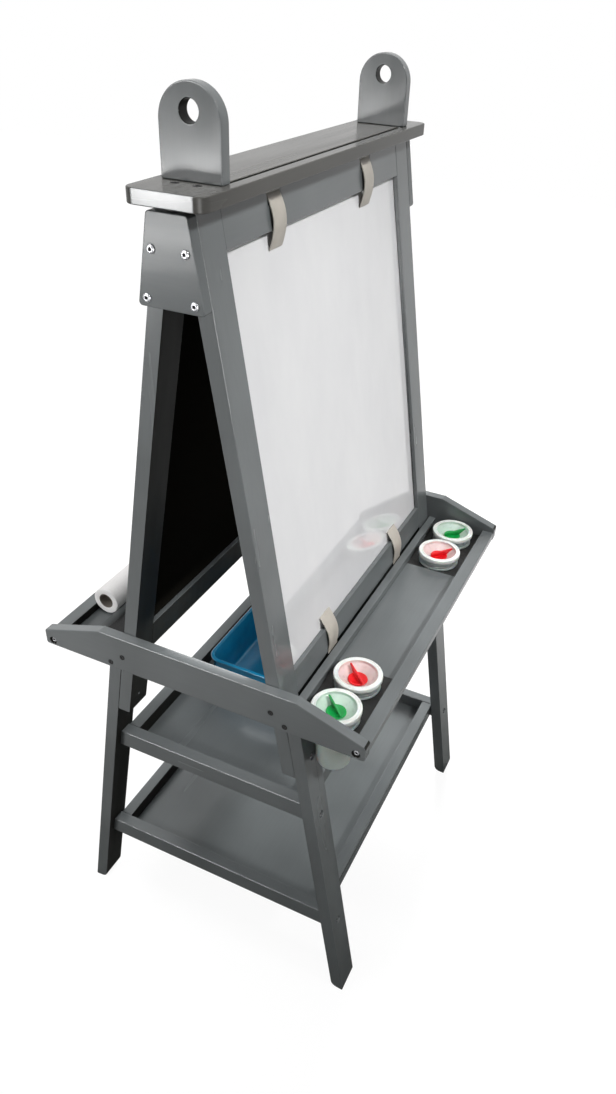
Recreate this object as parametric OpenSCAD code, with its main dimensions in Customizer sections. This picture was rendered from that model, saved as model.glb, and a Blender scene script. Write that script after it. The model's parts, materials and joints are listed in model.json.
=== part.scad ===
// Two-sided easel for children: a whiteboard at the front and a chalkboard at the back of an
// A-frame, a tray on each side with paint cups in the front one, and two shelves between four legs.
// X runs along the boards, -Y is the whiteboard side and Z is up from the floor.

/* [Stock] */
// Thickness of the top board, ears, end plates and side rails
board_t = 15; // [12:0.5:18]
// Thickness of the stiles, frame rails and legs
bar_t = 19.5; // [17:0.5:23]
// Radius of the rounded corners on flat boards
corner_r = 4; // [2:0.5:6]

/* [A-frame] */
// Height of the top board's underside above the floor
frame_h = 1157; // [1120:1:1220]
// Lean of each frame from the vertical, in degrees
splay = 9.74; // [9:0.01:10.5]
// Space between the two frames where they meet the top board
crown_gap = 5.5; // [4.5:0.5:9]
// Width across the outer edges of the stiles
frame_w = 554; // [530:1:600]
// Width of each stile and leg
stile_w = 42.5; // [38:0.5:46]
// Width of the frames' top and bottom rails
rail_w = 47.3; // [44:0.1:52]
// Depth of each board's face behind the front of its frame
board_inset = 7.5; // [6.5:0.5:9]
// Thickness of the whiteboard and the chalkboard
panel_t = 4; // [3:0.5:5]
// Depth of the grooves that hold the boards
groove_d = 5; // [4:0.5:7]
// Play of a board in its groove, on each side
groove_fit = 0.2; // [0.1:0.05:0.3]

/* [Top board and ears] */
// Length of the top board
top_l = 596; // [586:1:620]
// Depth of the top board, front to back
top_d = 90; // [86:1:100]
// Corner radius of the top board in plan
top_corner_r = 13; // [8:1:18]
// Clear width between the two ears, for a standard 18 inch paper roll
ear_span = 462.6; // [458:0.1:466]
// Width of an ear, front to back
ear_w = 68; // [62:1:70]
// Height of an ear above the top board
ear_h = 85; // [80:1:95]
// Radius of the hole for the roll's dowel
dowel_r = 10.4; // [8:0.1:12]
// Distance from the dowel hole's centre down from the top of the ear
dowel_drop = 24.7; // [22:0.1:30]
// Width of the slot that the paper feeds through
slot_w = 4.5; // [4.3:0.1:5]
// Distance from the slot's centre to the front edge of the top board
slot_setback = 16; // [14.5:0.5:17]

/* [End plates] */
// Height of an end plate
plate_h = 91.5; // [85:0.5:105]
// Gap between an end plate and the top board
plate_gap = 4; // [2:0.5:8]

/* [Trays] */
// Height of the tray rails' tops above the floor
tray_z = 561.5; // [540:0.5:580]
// Height of the tray rails
tray_rail_h = 16.5; // [15:0.5:18]
// Thickness of the front tray's inner rail
tray_inner_t = 12; // [10:0.5:14]
// Thickness of the outer tray rails
tray_outer_t = 19.5; // [17:0.5:22]
// Distance from an outer tray rail's outer face to its bolts
tray_bolt_in = 12; // [9:0.5:13]
// Clear width of the front tray between its rails
tray_w = 85; // [84:0.5:88]
// Gap between an inner tray rail and the frame at the rail's lower edge
tray_gap = 0.3; // [0.2:0.1:1]
// Thickness of the tray floors
tray_floor_t = 4; // [3:0.5:5]
// Length over which a tray floor lies under its outer rail
floor_lap = 15; // [10:0.5:16]
// Width of the back tray's slot for the paper roll
roll_slot_w = 36; // [32:0.5:36.5]
// Distance that the frames' bottom rails reach below the tray rails' tops
rail_drop = 10.5; // [6:0.5:12]
// Height of a side rail in the middle
side_h = 56; // [50:1:66]
// Height of a side rail at its ends
side_end_h = 23.5; // [21:0.5:28]
// Length of the level stretch on top of a side rail
side_flat = 297; // [280:1:310]
// Distance from an outer tray rail's face to the end of a side rail
side_overhang = 0.5; // [0:0.5:3]
// Height of the screws in the stiles above the tray rails' tops
screw_rise = 7.5; // [6:0.5:12]

/* [Legs and shelves] */
// Gap between a leg's top and the tray rails above it
leg_gap = 5; // [3:0.5:8]
// Length over which a leg laps its stile
leg_lap = 92; // [80:1:110]
// Radius of the rounded inner corner of each foot
foot_r = 12; // [6:1:14]
// Height of the upper shelf's rails above the floor, to their tops
upper_z = 386.4; // [370:0.2:400]
// Height of the lower shelf's rails above the floor, to their tops
lower_z = 161.5; // [140:0.5:185]
// Height of the shelf rails
shelf_rail_h = 30; // [26:0.5:34]
// Thickness of the shelf rails
shelf_rail_t = 19; // [16:0.5:22]
// Distance from the legs' inner faces to the long shelf rails, at the rails' tops
shelf_inset = 2.5; // [1.5:0.5:5]
// Depth of a shelf panel's face below its rails' tops
shelf_recess = 22; // [16:0.5:23]
// Thickness of the shelf panels
shelf_panel_t = 5; // [4:0.5:6]

/* [Paper clips] */
// Distance of each clip from the middle of the board
clip_x = 125; // [100:1:160]
// Width of a clip
clip_w = 29.5; // [24:0.5:34]
// Thickness of a clip's strip
clip_t = 1.6; // [1.2:0.1:1.8]
// Length of a clip from its root to its tip
clip_l = 58; // [55:0.5:64]
// Height of a clip's bow
clip_bow = 7.6; // [7.2:0.1:8]
// Distance from the top board to the roots of the top clips
clip_root = 9; // [6:0.5:12]
// Distance from the tray rails' tops down to the roots of the bottom clips
clip_sink = 3.5; // [2:0.5:5]
// Radius of the bead along a clip's root
bead_r = 1.5; // [1.3:0.1:1.6]
// Play of a clip's bead in its pocket
bead_fit = 0.2; // [0.15:0.05:0.3]

/* [Paint cups] */
// Distance between the two cups at one end
cup_pitch = 70.5; // [69:0.1:74]
// Distance from a side rail to the first cup's centre
cup_from_side = 36.5; // [35:0.5:38]
// Radius of a cup's lid
lid_r = 33.6; // [33:0.1:34.4]
// Height of a lid's rim
lid_h = 6.5; // [6:0.5:9]
// Width of the flat ring on top of a lid
lid_ring = 7; // [6:0.5:8]
// Depth of the step inside a lid's ring
lid_step = 4; // [3:0.5:5]
// Height of the lid's top above the cup holder
cup_stand = 20; // [18:0.5:24]
// Height of a cup from its bottom to the top of its lid
cup_h = 100; // [90:1:110]
// Radius of a cup's neck
neck_r = 30.5; // [30:0.5:31]
// Radius of a cup just below its flange
cup_r = 28.5; // [26:0.5:29]
// Radius of a cup's bottom
cup_base_r = 22; // [18:0.5:24]
// Wall of a cup and its lid
cup_wall = 1.6; // [1.2:0.1:2]
// Play between a lid and its cup
lid_fit = 0.3; // [0.2:0.1:0.6]
// Play between a cup and the hole that it hangs in
cup_fit = 0.8; // [0.5:0.1:1]
// Depth of the funnel in a lid
funnel_depth = 12; // [10:0.5:13]
// Radius of a stopper's disc
disc_r = 13.5; // [11:0.5:14]
// Thickness of a stopper's fin
fin_t = 2.4; // [2:0.2:3]
// Distance that a stopper's fin reaches out behind its disc
fin_heel = 2.5; // [0:0.5:4]
// Height of a fin's heel above its disc
fin_heel_h = 4; // [3:0.5:6]
// Direction of the fins at the near end, in degrees
fin_turn_near = 50; // [0:5:90]
// Direction of the fins at the far end, in degrees
fin_turn_far = -50; // [-90:5:0]

/* [Paper roll] */
// Length of the paper roll
roll_l = 457; // [440:1:470]
// Radius of the paper roll
roll_r = 20.5; // [19:0.5:23]
// Radius of the hole through the roll's core
core_bore_r = 10; // [8:0.5:12]
// Wall of the roll's core
core_wall = 1.5; // [1:0.25:2.5]
// Distance from the middle of the tray to the middle of the roll
roll_shift = 26.5; // [0:0.5:35]

/* [Storage bin] */
// Length of the bin
bin_l = 224; // [160:1:300]
// Depth of the bin, front to back
bin_d = 194; // [150:1:210]
// Height of the bin
bin_h = 76; // [60:1:90]
// Wall of the bin
bin_wall = 2; // [1.5:0.25:3]
// Corner radius of the bin in plan
bin_r = 18; // [10:1:24]
// Width of the bin's rim
bin_rim = 4; // [3:0.5:6]
// Height of the bin's rim
bin_rim_h = 3; // [2:0.5:5]

/* [Fasteners] */
// Radius of the bolts' shanks
bolt_r = 2.5; // [2:0.1:3]
// Radius of the bolts' heads
bolt_head_r = 4.8; // [4.2:0.1:5.2]
// Height of the bolts' heads
bolt_head_h = 3; // [2.4:0.1:3.4]
// Length of the bolts' shanks
bolt_l = 34; // [30:0.5:36]
// Depth of the counterbores that sink a bolt's head
sink_d = 4; // [3.6:0.1:5]
// Radius of the screws' shanks
screw_r = 2.1; // [1.8:0.1:2.4]
// Radius of the screws' countersunk heads
screw_head_r = 4; // [3.6:0.1:4.4]
// Length of the screws
screw_l = 40; // [34:1:46]
// Play around the fasteners
bolt_fit = 0.1; // [0.05:0.05:0.15]

/* [Hidden] */

NEAR = -1;
FAR = 1;
FRONT = -1;
BACK = 1;
EPS = 0.5;

PAINT = "#5f6466";
RED = "#dc1e26";
GREEN = "#0a9646";

// A frame's outer face as seen from the end, on the back side: s runs down the face from the
// top board's underside and n out from the face.
sin_a = sin(splay);
cos_a = cos(splay);
bar_depth = bar_t / cos_a;
crown_y = crown_gap / 2 + bar_depth;
function face_pt(s, n) = [crown_y + s * sin_a + n * cos_a, frame_h - s * cos_a + n * sin_a];
function face_s(z, n = 0) = (frame_h + n * sin_a - z) / cos_a;
function face_at(z, n = 0) = face_pt(face_s(z, n), n);
function face_y(z, n = 0) = face_at(z, n)[0];

stile_out = frame_w / 2;
stile_in = stile_out - stile_w;
stile_mid = stile_out - stile_w / 2;
side_out = stile_out + board_t;
top_z = frame_h + board_t;
ear_in = ear_span / 2;
ear_mid = ear_in + board_t / 2;
ear_screw_y = ear_w / 2 - 6;
slot_y = -top_d / 2 + slot_setback;
plate_top = frame_h - plate_gap;
plate_bottom = plate_top - plate_h;

tray_bottom = tray_z - tray_rail_h;
tray_floor_z = tray_bottom + tray_floor_t;
tray_in = face_y(tray_bottom) + tray_gap;
tray_near = tray_in + tray_inner_t;
tray_far = tray_near + tray_w;
tray_out = tray_far + tray_outer_t;
tray_mid_y = (tray_near + tray_far) / 2;
floor_out = tray_far + floor_lap;
ledge_out = tray_far - roll_slot_w;
side_half = tray_out + side_overhang;
tray_bolt_y = tray_out - tray_bolt_in;
tray_screw_y = tray_in + tray_inner_t / 2;
tray_bolt_z = tray_bottom + tray_rail_h / 2;
stile_screw_z = tray_z + screw_rise;

top_rail_s = rail_w;
bottom_rail_s1 = face_s(tray_z - rail_drop);
bottom_rail_s0 = bottom_rail_s1 - rail_w;

leg_top = tray_bottom - leg_gap;
stile_bottom = leg_top - leg_lap;
leg_bolt_z = stile_bottom + leg_lap / 3;
shelf_bolt_drop = shelf_rail_h / 2;

cup_in_x = stile_out - cup_from_side - cup_pitch;
cup_out_x = stile_out - cup_from_side;
cup_hole_r = cup_r + cup_fit;
holder_web = 3;
holder_x = cup_in_x - cup_hole_r - holder_web;
lid_top = tray_floor_z + cup_stand;
rim_z = lid_top - cup_wall - lid_fit;
cup_bottom = lid_top - cup_h;
flange_r = neck_r + 1.5;
flange_h = 2;
funnel_r = lid_r - lid_ring;
funnel_z = lid_top - funnel_depth;
plug_r = disc_r - 2;
plug_h = 4;
disc_h = 2.4;

// The bead lies just clear of its pocket's back wall, and the tip just clear of the board.
bead_n = -bead_r - bead_fit;
clip_tip_n = -board_inset + clip_t / 2 + bead_fit;
clip_steps = 24;
pocket_l = 12;
pocket_d = 2 * (bead_r + bead_fit);
top_clip_s = clip_root;
bottom_clip_s = face_s(tray_z - clip_sink);

// The roll rests on both edges of its slot, or on the floor under it.
roll_gap = 0.3;
roll_y = tray_far - roll_slot_w / 2;
roll_z = max(tray_z + sqrt(pow(roll_r + roll_gap, 2) - pow(roll_slot_w / 2, 2)),
             tray_floor_z + roll_gap + roll_r);

$fn = 64;

// ---- Outlines ----

// The corner b of the path a, b, c, as an arc of radius r.
function fillet(a, b, c, r, steps = 6) =
    let (u = (a - b) / norm(a - b), v = (c - b) / norm(c - b),
         half = acos(u * v) / 2,
         mid = (u + v) / norm(u + v),
         centre = b + mid * r / sin(half),
         from = b + u * r / tan(half) - centre,
         turn = cross(u, v) > 0 ? -(180 - 2 * half) : 180 - 2 * half)
    [for (i = [0:steps]) let (t = turn * i / steps)
        centre + [from[0] * cos(t) - from[1] * sin(t), from[0] * sin(t) + from[1] * cos(t)]];

// A closed outline with each corner rounded to the radius that is given for it.
function rounded(points, radii) =
    let (n = len(points))
    [for (i = [0:n - 1])
        let (a = points[(i + n - 1) % n], b = points[i], c = points[(i + 1) % n])
        for (p = radii[i] > 0 ? fillet(a, b, c, radii[i]) : [b]) p];

module rounded_rect(w, d, r) {
    square([w - 2 * r, d], center = true);
    square([w, d - 2 * r], center = true);
    for (x = [-1, 1], y = [-1, 1])
        translate([x * (w / 2 - r), y * (d / 2 - r)])
            circle(r);
}

// ---- Placing ----

// Draws an outline of the Y and Z plane along X, from x0 to x1.
module along_x(x0, x1) {
    translate([x0, 0, 0])
        rotate([90, 0, 90])
            linear_extrude(x1 - x0)
                children();
}

// Everything is drawn at the far end of the back side. These two move it to the others.
module at_end(end) {
    if (end == NEAR)
        mirror([1, 0, 0]) children();
    else
        children();
}

module on_side(side) {
    if (side == FRONT)
        mirror([0, 1, 0]) children();
    else
        children();
}

// Faces local +Z along X, away from the middle.
module facing_x(x, y, z) {
    translate([x, y, z])
        rotate([0, 90, 0])
            children();
}

// Faces local +Z out of a leg's outer face.
module on_leg(z) {
    translate([stile_mid, face_y(z, bar_t), z])
        rotate([splay - 90, 0, 0])
            children();
}

// ---- Fasteners ----

module bolt(length) {
    translate([0, 0, -length])
        cylinder(h = length, r = bolt_r);
    difference() {
        cylinder(h = bolt_head_h, r1 = bolt_head_r, r2 = bolt_head_r * 0.62);
        translate([0, 0, bolt_head_h / 2])
            cylinder(h = bolt_head_h, r = bolt_r * 0.7, $fn = 6);
    }
}

module bolt_hole(length) {
    translate([0, 0, -length - bolt_fit])
        cylinder(h = length + bolt_fit + EPS, r = bolt_r + bolt_fit);
}

// A bolt whose head lies at the bottom of a counterbore, and the cut for it.
module sunk_bolt(length) {
    translate([0, 0, -sink_d])
        bolt(length - sink_d);
}

module sunk_bolt_hole(length) {
    bolt_hole(length);
    translate([0, 0, -sink_d])
        cylinder(h = sink_d + EPS, r = bolt_head_r + 5 * bolt_fit);
}

module screw(length) {
    head_h = screw_head_r - screw_r;
    translate([0, 0, -length])
        cylinder(h = length - head_h, r = screw_r);
    difference() {
        translate([0, 0, -head_h])
            cylinder(h = head_h, r1 = screw_r, r2 = screw_head_r);
        translate([0, 0, -head_h * 0.6])
            cylinder(h = head_h, r = screw_r * 0.8, $fn = 4);
    }
}

module screw_hole(length) {
    head_h = screw_head_r - screw_r;
    translate([0, 0, -length - bolt_fit])
        cylinder(h = length + bolt_fit + EPS, r = screw_r + bolt_fit);
    translate([0, 0, -head_h])
        cylinder(h = head_h + EPS, r1 = screw_r + bolt_fit,
                 r2 = screw_head_r + bolt_fit + EPS);
}

// The places of the fasteners in one quarter of the easel.
module at_end_plate_bolts() {
    for (z = [plate_top - 0.38 * plate_h, plate_bottom + 0.1 * plate_h])
        facing_x(side_out, face_y(z, -bar_t / 2), z)
            children();
}

module at_tray_bolt() {
    facing_x(side_out, tray_bolt_y, tray_bolt_z)
        children();
}

module at_stile_bolt() {
    on_leg(leg_bolt_z)
        children();
}

module at_shelf_bolts() {
    for (z = [upper_z, lower_z])
        on_leg(z - shelf_bolt_drop)
            children();
}

module at_side_screws() {
    facing_x(side_out, tray_screw_y, tray_bolt_z)
        children();
    facing_x(side_out, face_y(stile_screw_z, -bar_t / 2), stile_screw_z)
        children();
}

module at_top_screw() {
    translate([stile_mid, face_y(frame_h, -bar_t / 2), top_z])
        children();
}

module at_ear_screw() {
    translate([ear_mid, ear_screw_y, frame_h])
        rotate([180, 0, 0])
            children();
}

module on_all_quarters() {
    for (end = [NEAR, FAR], side = [FRONT, BACK])
        at_end(end) on_side(side) children();
}

// ---- Top ----

module top_board() {
    color(PAINT)
    difference() {
        translate([0, 0, frame_h])
            linear_extrude(board_t)
                rounded_rect(top_l, top_d, top_corner_r);
        translate([-ear_in, slot_y - slot_w / 2, frame_h - EPS])
            cube([ear_span, slot_w, board_t + 2 * EPS]);
        on_all_quarters() {
            at_top_screw() screw_hole(screw_l);
            at_ear_screw() screw_hole(screw_l);
        }
    }
}

module roll_ear(end) {
    color(PAINT)
    at_end(end)
    difference() {
        along_x(ear_in, ear_in + board_t)
            translate([0, top_z])
                difference() {
                    union() {
                        translate([-ear_w / 2, 0])
                            square([ear_w, ear_h - ear_w / 2]);
                        translate([0, ear_h - ear_w / 2])
                            circle(ear_w / 2);
                    }
                    translate([0, ear_h - dowel_drop])
                        circle(dowel_r);
                }
        for (side = [FRONT, BACK])
            on_side(side)
                at_ear_screw() screw_hole(screw_l);
    }
}
module roll_ear_near() roll_ear(NEAR);
module roll_ear_far() roll_ear(FAR);

module end_plate(end) {
    top = face_y(plate_top);
    bottom = face_y(plate_bottom);
    outline = [[-bottom, plate_bottom], [bottom, plate_bottom], [top, plate_top], [-top, plate_top]];
    color(PAINT)
    at_end(end)
    difference() {
        along_x(stile_out, side_out)
            polygon(rounded(outline, [for (p = outline) corner_r]));
        for (side = [FRONT, BACK])
            on_side(side)
                at_end_plate_bolts() bolt_hole(bolt_l);
    }
}
module end_plate_near() end_plate(NEAR);
module end_plate_far() end_plate(FAR);

// ---- Frames ----

// A bar between two heights with level ends, from the offset n0 to n1 of the frame's face.
module level_bar(x0, x1, z0, z1, n0, n1) {
    along_x(x0, x1)
        polygon([face_at(z0, n0), face_at(z0, n1), face_at(z1, n1), face_at(z1, n0)]);
}

// A board or cut square to the frame's face, from s0 down to s1.
module square_bar(x0, x1, s0, s1, n0, n1) {
    along_x(x0, x1)
        polygon([face_pt(s0, n0), face_pt(s0, n1), face_pt(s1, n1), face_pt(s1, n0)]);
}

// The groove around a frame's opening, grown by the board's play.
module board_groove() {
    square_bar(-stile_in - groove_d, stile_in + groove_d,
               top_rail_s - groove_d, bottom_rail_s0 + groove_d,
               -board_inset - panel_t - groove_fit, -board_inset + groove_fit);
}

module frame_board() {
    reach = groove_d - groove_fit;
    square_bar(-stile_in - reach, stile_in + reach,
               top_rail_s - reach, bottom_rail_s0 + reach,
               -board_inset - panel_t, -board_inset);
}

module stile(end, side) {
    color(PAINT)
    on_side(side) at_end(end)
    difference() {
        level_bar(stile_in, stile_out, stile_bottom, frame_h, -bar_t, 0);
        board_groove();
        at_top_screw() screw_hole(screw_l);
        at_end_plate_bolts() bolt_hole(bolt_l);
        at_side_screws() screw_hole(screw_l);
        at_stile_bolt() bolt_hole(2 * bar_t + EPS);
    }
}
module front_stile_near() stile(NEAR, FRONT);
module front_stile_far() stile(FAR, FRONT);
module back_stile_near() stile(NEAR, BACK);
module back_stile_far() stile(FAR, BACK);

module top_rail(side) {
    on_side(side)
    difference() {
        along_x(-stile_in, stile_in)
            polygon([face_at(frame_h, 0), face_pt(top_rail_s, 0),
                     face_pt(top_rail_s, -bar_t), face_at(frame_h, -bar_t)]);
        board_groove();
    }
}

module bottom_rail(side) {
    on_side(side)
    difference() {
        square_bar(-stile_in, stile_in, bottom_rail_s0, bottom_rail_s1, -bar_t, 0);
        board_groove();
    }
}

module front_top_rail() {
    color(PAINT)
    difference() {
        top_rail(FRONT);
        at_clips() clip_pocket(top_clip_s, 1);
    }
}

module front_bottom_rail() {
    color(PAINT)
    difference() {
        bottom_rail(FRONT);
        at_clips() clip_pocket(bottom_clip_s, -1);
    }
}

module back_top_rail() color("#4a4e50") top_rail(BACK);
module back_bottom_rail() color("#4a4e50") bottom_rail(BACK);
module whiteboard() color("#dcdde0") on_side(FRONT) frame_board();
module chalkboard() color("#1c1e1e") on_side(BACK) frame_board();

// ---- Paper clips ----

// A clip is drawn along the face from its root at s0. Its tip points down for way 1, up for -1.
function clip_n(t) =
    bead_n + (clip_tip_n - bead_n) * t + clip_bow * sin(180 * t);

module clip_pocket(s0, way) {
    square_bar(-clip_w / 2 - bead_fit, clip_w / 2 + bead_fit,
               s0 - way * (bead_r + bead_fit), s0 + way * pocket_l, -pocket_d, EPS);
}

module clip(s0, way) {
    steps = [for (i = [0:clip_steps]) i / clip_steps];
    back = [for (i = [clip_steps:-1:0]) i / clip_steps];
    first = [for (t = steps) face_pt(s0 + way * clip_l * t, clip_n(t) - way * clip_t / 2)];
    last = [for (t = back) face_pt(s0 + way * clip_l * t, clip_n(t) + way * clip_t / 2)];
    along_x(-clip_w / 2, clip_w / 2) {
        polygon(concat(first, last));
        translate(face_pt(s0, bead_n))
            circle(bead_r);
    }
}

module at_clips(ends = [NEAR, FAR]) {
    on_side(FRONT)
        for (end = ends)
            translate([end * clip_x, 0, 0])
                children();
}

CLIP_COLOUR = "#b5afa6";
module top_clip_near() color(CLIP_COLOUR) at_clips([NEAR]) clip(top_clip_s, 1);
module top_clip_far() color(CLIP_COLOUR) at_clips([FAR]) clip(top_clip_s, 1);
module bottom_clip_near() color(CLIP_COLOUR) at_clips([NEAR]) clip(bottom_clip_s, -1);
module bottom_clip_far() color(CLIP_COLOUR) at_clips([FAR]) clip(bottom_clip_s, -1);

// ---- Trays ----

module side_rail(end) {
    outline = [
        [-side_half, tray_bottom], [side_half, tray_bottom],
        [side_half, tray_bottom + side_end_h], [side_flat / 2, tray_bottom + side_h],
        [-side_flat / 2, tray_bottom + side_h], [-side_half, tray_bottom + side_end_h]];
    r = corner_r;
    color(PAINT)
    at_end(end)
    difference() {
        along_x(stile_out, side_out)
            polygon(rounded(outline, [r, r, r, 2 * r, 2 * r, r]));
        for (side = [FRONT, BACK])
            on_side(side) {
                at_tray_bolt() sunk_bolt_hole(bolt_l);
                at_side_screws() screw_hole(screw_l);
            }
    }
}
module side_rail_near() side_rail(NEAR);
module side_rail_far() side_rail(FAR);

module inner_rail(side, out_y) {
    color(PAINT)
    on_side(side)
    difference() {
        translate([-stile_out, tray_in, tray_bottom])
            cube([frame_w, out_y - tray_in, tray_rail_h]);
        for (end = [NEAR, FAR])
            at_end(end) at_side_screws() screw_hole(screw_l);
    }
}

module outer_rail(side) {
    color(PAINT)
    on_side(side)
    difference() {
        translate([-stile_out, tray_far, tray_floor_z])
            cube([frame_w, tray_outer_t, tray_rail_h - tray_floor_t]);
        for (end = [NEAR, FAR])
            at_end(end) at_tray_bolt() bolt_hole(bolt_l);
    }
}

module front_tray_inner_rail() inner_rail(FRONT, tray_near);
module front_tray_outer_rail() outer_rail(FRONT);
module back_tray_inner_rail() inner_rail(BACK, ledge_out);
module back_tray_outer_rail() outer_rail(BACK);

// A floor plate from x0 to x1 and from y0 to under the outer rail.
module tray_plate(x0, x1, y0) {
    translate([x0, y0, tray_bottom])
        cube([x1 - x0, floor_out - y0, tray_floor_t]);
}

module front_tray_floor() color(PAINT) on_side(FRONT) tray_plate(-holder_x, holder_x, tray_near);
module back_tray_floor() color(PAINT) tray_plate(-stile_out, stile_out, ledge_out);

// ---- Paint cups ----

module cup_holder(end) {
    color("#232525")
    on_side(FRONT) at_end(end)
    difference() {
        tray_plate(holder_x, stile_out, tray_near);
        for (x = [cup_in_x, cup_out_x])
            translate([x, tray_mid_y, tray_bottom - EPS])
                cylinder(h = tray_floor_t + 2 * EPS, r = cup_hole_r);
    }
}
module cup_holder_near() cup_holder(NEAR);
module cup_holder_far() cup_holder(FAR);

module at_cup(end, x) {
    translate([end * x, -tray_mid_y, 0])
        children();
}

// Half sections of a cup, a lid and a stopper, as radius and height.
module cup() {
    base_r = 9;
    flange_z = tray_floor_z + flange_h;
    outer = fillet([0, cup_bottom], [cup_base_r, cup_bottom], [cup_r, tray_floor_z], base_r);
    inner = fillet([0, cup_bottom + cup_wall], [cup_base_r - cup_wall, cup_bottom + cup_wall],
                   [cup_r - cup_wall, tray_floor_z], base_r - cup_wall);
    rotate_extrude()
        polygon(concat(
            [[0, cup_bottom]], outer,
            [[cup_r, tray_floor_z], [flange_r, tray_floor_z], [flange_r, flange_z], [neck_r, flange_z],
             [neck_r, rim_z], [neck_r - cup_wall, rim_z], [neck_r - cup_wall, flange_z],
             [cup_r - cup_wall, tray_floor_z]],
            [for (i = [len(inner) - 1:-1:0]) inner[i]],
            [[0, cup_bottom + cup_wall]]));
}

module lid() {
    skirt_r = neck_r + lid_fit;
    seat_r = plug_r + lid_fit;
    seat_z = funnel_z - cup_wall;
    rotate_extrude()
        polygon([
            [lid_r, lid_top - lid_h], [lid_r, lid_top - 1], [lid_r - 1, lid_top],
            [funnel_r, lid_top], [funnel_r - 1, lid_top - lid_step],
            [disc_r + lid_fit, funnel_z], [seat_r, funnel_z],
            [seat_r, seat_z], [disc_r + lid_fit, seat_z],
            [funnel_r - 1 + cup_wall, lid_top - lid_step - cup_wall / 2],
            [funnel_r + cup_wall, lid_top - cup_wall], [skirt_r, lid_top - cup_wall],
            [skirt_r, lid_top - lid_h]]);
}

module stopper(turn) {
    disc_z = funnel_z + lid_fit / 2;
    fin_z = disc_z + disc_h;
    fin_reach = funnel_r - 1;
    translate([0, 0, disc_z])
        cylinder(h = disc_h, r = disc_r);
    translate([0, 0, disc_z - plug_h])
        cylinder(h = plug_h, r = plug_r);
    rotate([0, 0, turn])
        translate([0, fin_t / 2, 0])
            rotate([90, 0, 0])
                linear_extrude(fin_t)
                    polygon([[-disc_r - fin_heel, fin_z + fin_heel_h],
                             [-disc_r + 0.5, fin_z - disc_h / 2],
                             [disc_r - 0.5, fin_z - disc_h / 2], [fin_reach, lid_top + 1]]);
}

CUP_COLOUR = "#d9dcda";
LID_COLOUR = "#f1f1ec";
module near_red_cup() color(CUP_COLOUR) at_cup(NEAR, cup_in_x) cup();
module near_red_lid() color(LID_COLOUR) at_cup(NEAR, cup_in_x) lid();
module near_red_stopper() color(RED) at_cup(NEAR, cup_in_x) stopper(fin_turn_near);
module near_green_cup() color(CUP_COLOUR) at_cup(NEAR, cup_out_x) cup();
module near_green_lid() color(LID_COLOUR) at_cup(NEAR, cup_out_x) lid();
module near_green_stopper() color(GREEN) at_cup(NEAR, cup_out_x) stopper(fin_turn_near);
module far_red_cup() color(CUP_COLOUR) at_cup(FAR, cup_in_x) cup();
module far_red_lid() color(LID_COLOUR) at_cup(FAR, cup_in_x) lid();
module far_red_stopper() color(RED) at_cup(FAR, cup_in_x) stopper(fin_turn_far);
module far_green_cup() color(CUP_COLOUR) at_cup(FAR, cup_out_x) cup();
module far_green_lid() color(LID_COLOUR) at_cup(FAR, cup_out_x) lid();
module far_green_stopper() color(GREEN) at_cup(FAR, cup_out_x) stopper(fin_turn_far);

// ---- Paper roll ----

module paper_roll() {
    color("#f4f3ef")
    along_x(roll_shift - roll_l / 2, roll_shift + roll_l / 2)
        translate([roll_y, roll_z])
            difference() {
                circle(roll_r);
                circle(core_bore_r + core_wall);
            }
}

module roll_core() {
    color("#b79a72")
    along_x(roll_shift - roll_l / 2, roll_shift + roll_l / 2)
        translate([roll_y, roll_z])
            difference() {
                circle(core_bore_r + core_wall);
                circle(core_bore_r);
            }
}

// ---- Legs ----

module leg(end, side) {
    outline = [face_at(0, 0), face_at(0, bar_t), face_at(leg_top, bar_t), face_at(leg_top, 0)];
    color(PAINT)
    on_side(side) at_end(end)
    difference() {
        along_x(stile_in, stile_out)
            polygon(rounded(outline, [foot_r, 2, 0, 0]));
        at_stile_bolt() sunk_bolt_hole(2 * bar_t);
        at_shelf_bolts() sunk_bolt_hole(2 * bar_t);
    }
}
module front_leg_near() leg(NEAR, FRONT);
module front_leg_far() leg(FAR, FRONT);
module back_leg_near() leg(NEAR, BACK);
module back_leg_far() leg(FAR, BACK);

// ---- Shelves ----

function shelf_out(z) = face_y(z) - shelf_inset;
shelf_end_in = stile_mid - shelf_rail_t / 2;
shelf_end_out = stile_mid + shelf_rail_t / 2;

module shelf_end(end, z) {
    low = z - shelf_rail_h;
    color(PAINT)
    at_end(end)
    difference() {
        along_x(shelf_end_in, shelf_end_out)
            polygon([[-face_y(low), low], [face_y(low), low], [face_y(z), z], [-face_y(z), z]]);
        for (side = [FRONT, BACK])
            on_side(side)
                on_leg(z - shelf_bolt_drop) bolt_hole(2 * bar_t);
    }
}

module shelf_rail(side, z) {
    color(PAINT)
    on_side(side)
        translate([-shelf_end_in, shelf_out(z) - shelf_rail_t, z - shelf_rail_h])
            cube([2 * shelf_end_in, shelf_rail_t, shelf_rail_h]);
}

module shelf_panel(z) {
    half = shelf_out(z) - shelf_rail_t;
    color(PAINT)
        translate([-shelf_end_in, -half, z - shelf_recess - shelf_panel_t])
            cube([2 * shelf_end_in, 2 * half, shelf_panel_t]);
}

module upper_shelf_end_near() shelf_end(NEAR, upper_z);
module upper_shelf_end_far() shelf_end(FAR, upper_z);
module upper_shelf_front_rail() shelf_rail(FRONT, upper_z);
module upper_shelf_back_rail() shelf_rail(BACK, upper_z);
module upper_shelf_panel() shelf_panel(upper_z);
module lower_shelf_end_near() shelf_end(NEAR, lower_z);
module lower_shelf_end_far() shelf_end(FAR, lower_z);
module lower_shelf_front_rail() shelf_rail(FRONT, lower_z);
module lower_shelf_back_rail() shelf_rail(BACK, lower_z);
module lower_shelf_panel() shelf_panel(lower_z);

// ---- Storage bin ----

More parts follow.
